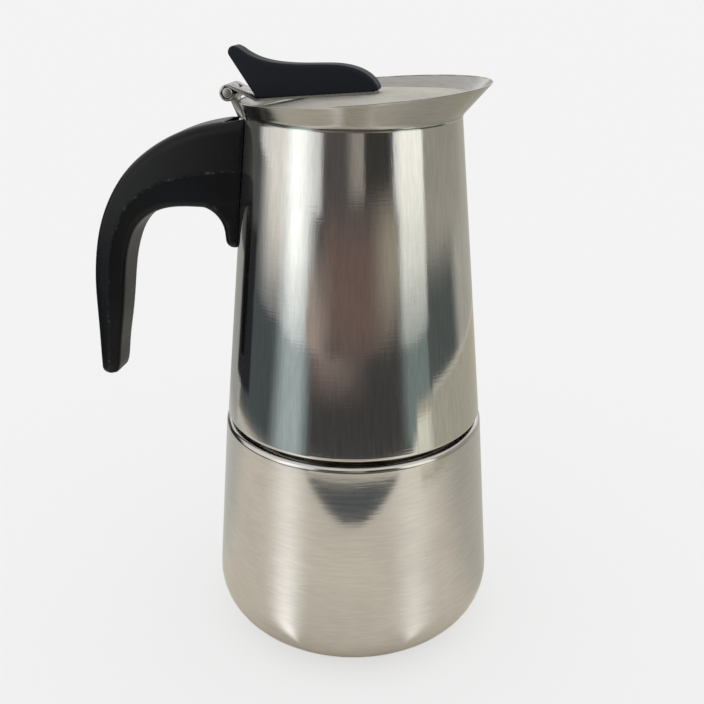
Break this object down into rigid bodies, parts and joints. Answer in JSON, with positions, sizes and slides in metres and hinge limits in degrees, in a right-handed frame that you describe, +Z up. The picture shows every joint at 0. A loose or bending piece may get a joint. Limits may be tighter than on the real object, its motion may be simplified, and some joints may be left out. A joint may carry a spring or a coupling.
{
  "type": "moka pot",
  "caption": "Stainless stove-top coffee maker: tapered boiler, screw-on jug with flared pouring collar, hinged lid with thumb knob and hooked black handle.",
  "frame": {"origin": "middle of the boiler's flat bottom, on the surface that the pot stands on", "axes": "+Z up along the pot's axis, +X towards the spout, -X towards the handle"},
  "size_m": [0.1446, 0.1091, 0.2053],
  "materials": {
    "steel_body": "satin polished stainless sheet with fine brushing",
    "steel_inner": "plain pressed stainless sheet",
    "hinge_steel": "bare bent stainless strip with dull edges",
    "screw_steel": "turned steel screws",
    "valve_brass": "turned brass, slightly dulled",
    "spring_steel": "drawn spring wire",
    "seal_rubber": "matt off-white silicone rubber",
    "black_phenolic": "semi-matt black phenolic moulding with a ground parting ridge"
  },
  "bodies": {
    "boiler": {"boiler_shell": "steel_body", "valve_body": "valve_brass", "valve_outer_washer": "seal_rubber", "valve_inner_washer": "seal_rubber", "valve_nut": "valve_brass", "valve_cap": "valve_brass", "valve_spring": "spring_steel"},
    "valve_pin": {"valve_plunger": "valve_brass"},
    "funnel": {"funnel_cup": "steel_inner", "funnel_stem": "steel_inner", "funnel_sieve": "steel_inner"},
    "seal": {"gasket": "seal_rubber", "filter_plate": "steel_inner"},
    "jug": {"jug_wall": "steel_body", "jug_base": "steel_inner", "coffee_column": "steel_inner", "column_cap": "steel_inner", "pouring_collar": "steel_body", "handle_bracket": "hinge_steel", "handle": "black_phenolic", "handle_screw": "screw_steel", "hinge_pin": "hinge_steel"},
    "lid": {"lid": "steel_body", "lid_strap": "hinge_steel", "lid_knob": "black_phenolic", "knob_screws": "screw_steel"}
  },
  "joints": [
    {"name": "valve_open", "type": "slide", "parent": "boiler", "child": "valve_pin", "axis": [0, 0.9967, 0.081], "range_m": [0, 0.0015], "stiffness_N_per_m": 800, "deforming": ["valve_spring"]},
    {"name": "funnel_lift", "type": "slide", "parent": "boiler", "child": "funnel", "axis": [0, 0, 1], "range_m": [0, 0.09]},
    {"name": "jug_rise", "type": "slide", "parent": "funnel", "child": "seal", "axis": [0, 0, 1], "range_m": [0, 0.0075]},
    {"name": "jug_unscrew", "type": "hinge", "parent": "seal", "child": "jug", "pos_m": [0, 0, 0.09], "axis": [0, 0, 1], "range_deg": [0, 900]},
    {"name": "lid_open", "type": "hinge", "parent": "jug", "child": "lid", "pos_m": [-0.04047, 0, 0.19092], "axis": [0, -1, 0], "range_deg": [0, 136]}
  ],
  "couplings": [
    {"joint": "jug_rise", "follows": "jug_unscrew", "m_per_rad": 0.00047746}
  ]
}
